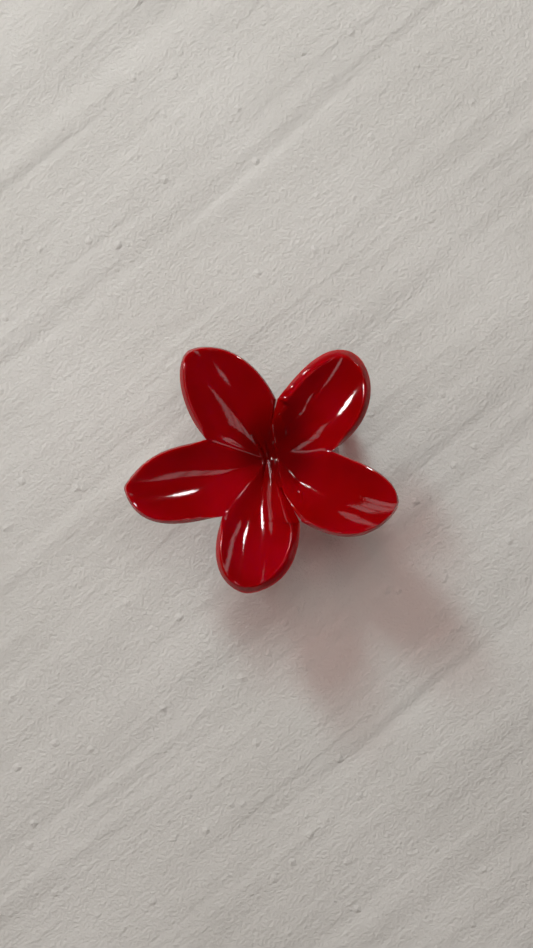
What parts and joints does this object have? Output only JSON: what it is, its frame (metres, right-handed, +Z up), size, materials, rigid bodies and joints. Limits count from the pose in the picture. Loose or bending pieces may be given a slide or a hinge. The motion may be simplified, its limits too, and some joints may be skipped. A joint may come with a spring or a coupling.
{
  "type": "flower claw clip",
  "caption": "Open flower claw hair clip: petals are the squeeze levers, curved interlacing teeth below, pin hinge with torsion spring.",
  "frame": {"origin": "on the surface that the closed clip stands on, under the point where the petals converge", "axes": "+Z up through the flower, Y along the hinge axis, +X towards the two-petal half"},
  "size_m": [0.0781, 0.0736, 0.0474],
  "materials": {
    "red_plastic": "gloss",
    "pin_steel": "satin",
    "spring_steel": "satin"
  },
  "bodies": {
    "three_petal_half": {"upper_left_petal": "red_plastic", "left_petal": "red_plastic", "lower_petal": "red_plastic", "throat_floor": "red_plastic", "three_petal_jaw": "red_plastic", "three_petal_neck": "red_plastic", "three_petal_tooth_1": "red_plastic", "three_petal_tooth_2": "red_plastic", "three_petal_tooth_3": "red_plastic", "three_petal_tooth_4": "red_plastic", "three_petal_tooth_5": "red_plastic", "three_petal_hinge_eye_1": "red_plastic", "three_petal_hinge_eye_2": "red_plastic", "hinge_pin": "pin_steel", "torsion_spring": "spring_steel"},
    "two_petal_half": {"upper_right_petal": "red_plastic", "right_petal": "red_plastic", "two_petal_jaw": "red_plastic", "two_petal_neck": "red_plastic", "two_petal_tooth_1": "red_plastic", "two_petal_tooth_2": "red_plastic", "two_petal_tooth_3": "red_plastic", "two_petal_tooth_4": "red_plastic", "two_petal_hinge_eye_1": "red_plastic", "two_petal_hinge_eye_2": "red_plastic"}
  },
  "joints": [
    {"name": "squeeze_hinge", "type": "hinge", "parent": "three_petal_half", "child": "two_petal_half", "pos_m": [0.0025, 0, 0.031], "axis": [0, -1, 0], "range_deg": [0, 28], "stiffness_Nm_per_rad": 0.3, "springref_deg": -40.11, "deforming": ["torsion_spring"]}
  ]
}
